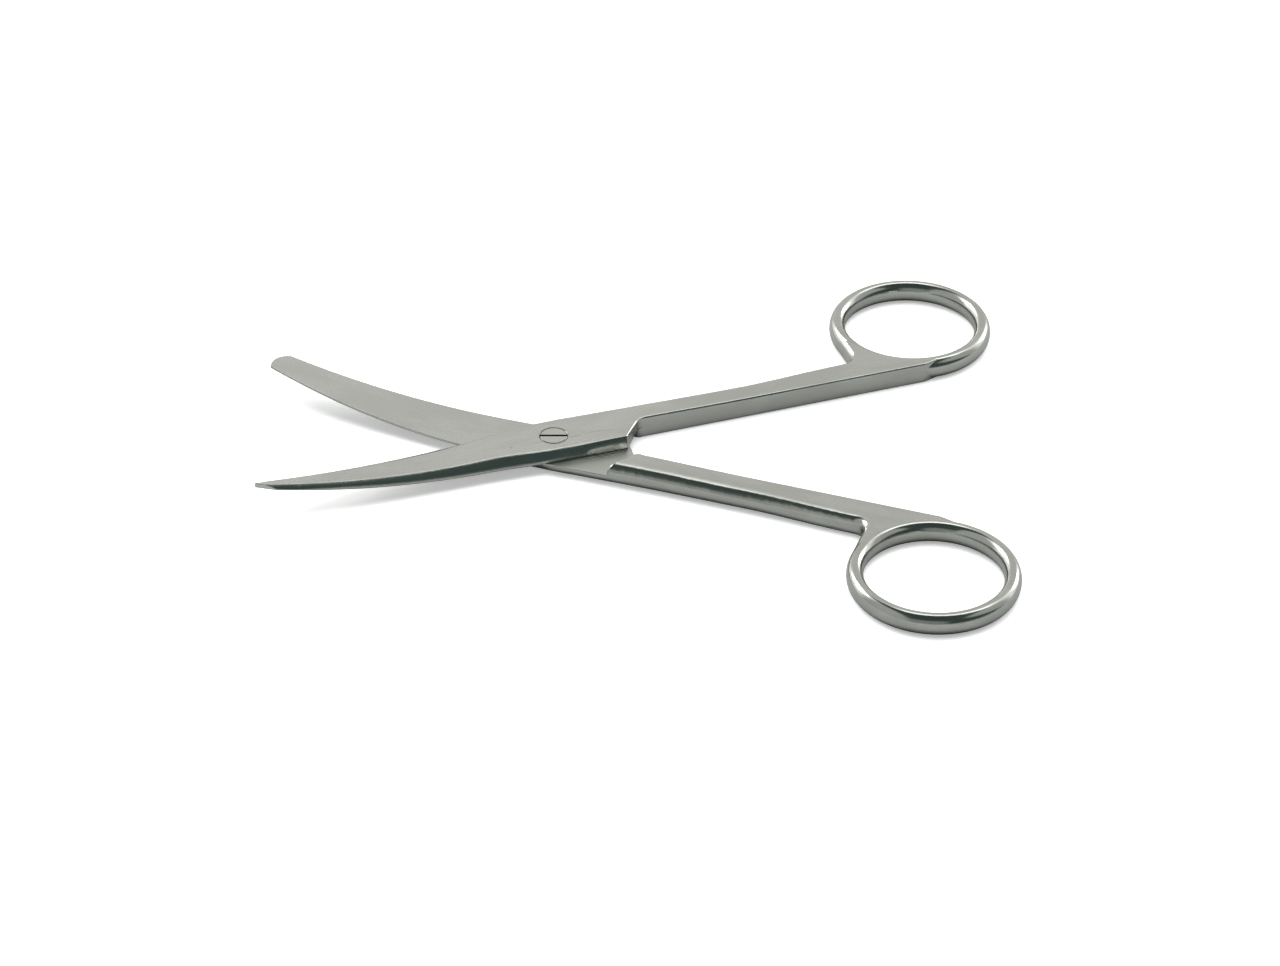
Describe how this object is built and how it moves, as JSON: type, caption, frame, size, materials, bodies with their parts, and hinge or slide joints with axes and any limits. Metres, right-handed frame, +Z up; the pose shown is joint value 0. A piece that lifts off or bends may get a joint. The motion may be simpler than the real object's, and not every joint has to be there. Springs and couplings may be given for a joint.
{
  "type": "curved dissecting scissors",
  "caption": "Curved dissecting scissors with one sharp and one blunt blade, a slotted flush pivot screw and a finger ring at the end of each shank.",
  "frame": {"origin": "on the pivot axis, in the plane that the joint, the shanks and the rings lie on", "axes": "+Z up along the pivot axis, towards the screw head and the side that the blades curve to; +X along the middle of the opening, from the blades to the rings; at rest the blades stand open by 38.9 degrees"},
  "size_m": [0.1327, 0.1086, 0.0079],
  "materials": {
    "upper_steel": "satin ground",
    "lower_steel": "satin ground",
    "screw_steel": "satin ground"
  },
  "bodies": {
    "lower_body": {"lower_half": "lower_steel", "pivot_screw": "screw_steel"},
    "upper_body": {"upper_half": "upper_steel"}
  },
  "joints": [
    {"name": "blade_pivot", "type": "hinge", "parent": "lower_body", "child": "upper_body", "pos_m": [0, 0, 0], "axis": [0, 0, 1], "range_deg": [-38.9, 90]}
  ]
}
